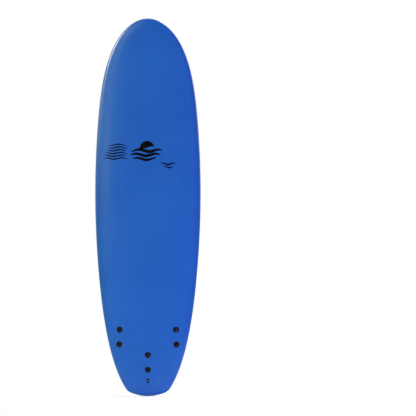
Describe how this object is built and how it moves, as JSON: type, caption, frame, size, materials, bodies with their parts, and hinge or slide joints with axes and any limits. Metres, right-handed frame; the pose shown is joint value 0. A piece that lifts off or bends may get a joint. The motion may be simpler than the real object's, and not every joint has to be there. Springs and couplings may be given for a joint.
{
  "type": "surfboard",
  "caption": "Soft-top longboard surfboard with a wide round nose, squash tail, screw-on fins, a leash plug in the deck and a finger grip let into the hull.",
  "frame": {"origin": "centre of the hull's flat middle, halfway along the board", "axes": "+Z along the board to the nose, +Y out of the hull on the fins' side, the deck faces -Y, +X to the right when looking at the deck with the nose up"},
  "size_m": [0.596, 0.2394, 2.1336],
  "materials": {
    "deck_foam": "soft closed-cell foam skin with a fine pebbled emboss",
    "deck_ink": "black ink printed on the foam skin, only on the finished look",
    "hull_slick": "hard smooth polyethylene sheet, satin gloss",
    "backing_foam": "closed-cell foam sheet",
    "nose_rubber": "smooth moulded rubber",
    "tail_rubber": "smooth moulded rubber",
    "blank_foam": "beaded foam",
    "plywood": "raw plywood",
    "grip_rubber": "moulded rubber",
    "nylon": "moulded nylon, low sheen",
    "pin_steel": "stainless rod",
    "fin_plastic": "moulded fin plastic, semi-gloss",
    "seal_rubber": "soft sealing rubber",
    "sleeve_plastic": "plain moulded plastic",
    "insert_brass": "turned brass"
  },
  "bodies": {
    "root": {"deck_skin": "deck_foam", "bottom_slick": "hull_slick", "bottom_foam": "backing_foam", "nose_bumper": "nose_rubber", "tail_bumper": "tail_rubber", "blank_left_outer": "blank_foam", "blank_left_inner": "blank_foam", "blank_right_inner": "blank_foam", "blank_right_outer": "blank_foam", "stringer_left": "plywood", "stringer_center": "plywood", "stringer_right": "plywood", "finger_grip": "grip_rubber", "leash_plug_cup": "nylon", "leash_pin": "pin_steel", "fin_left": "fin_plastic", "fin_screw_left_front": "nylon", "screw_seal_left_front": "seal_rubber", "screw_sleeve_left_front": "sleeve_plastic", "screw_insert_left_front": "insert_brass", "fin_screw_left_rear": "nylon", "screw_seal_left_rear": "seal_rubber", "screw_sleeve_left_rear": "sleeve_plastic", "screw_insert_left_rear": "insert_brass", "fin_right": "fin_plastic", "fin_screw_right_front": "nylon", "screw_seal_right_front": "seal_rubber", "screw_sleeve_right_front": "sleeve_plastic", "screw_insert_right_front": "insert_brass", "fin_screw_right_rear": "nylon", "screw_seal_right_rear": "seal_rubber", "screw_sleeve_right_rear": "sleeve_plastic", "screw_insert_right_rear": "insert_brass", "fin_center": "fin_plastic", "fin_screw_center_front": "nylon", "screw_seal_center_front": "seal_rubber", "screw_sleeve_center_front": "sleeve_plastic", "screw_insert_center_front": "insert_brass", "fin_screw_center_rear": "nylon", "screw_seal_center_rear": "seal_rubber", "screw_sleeve_center_rear": "sleeve_plastic", "screw_insert_center_rear": "insert_brass"}
  },
  "joints": []
}
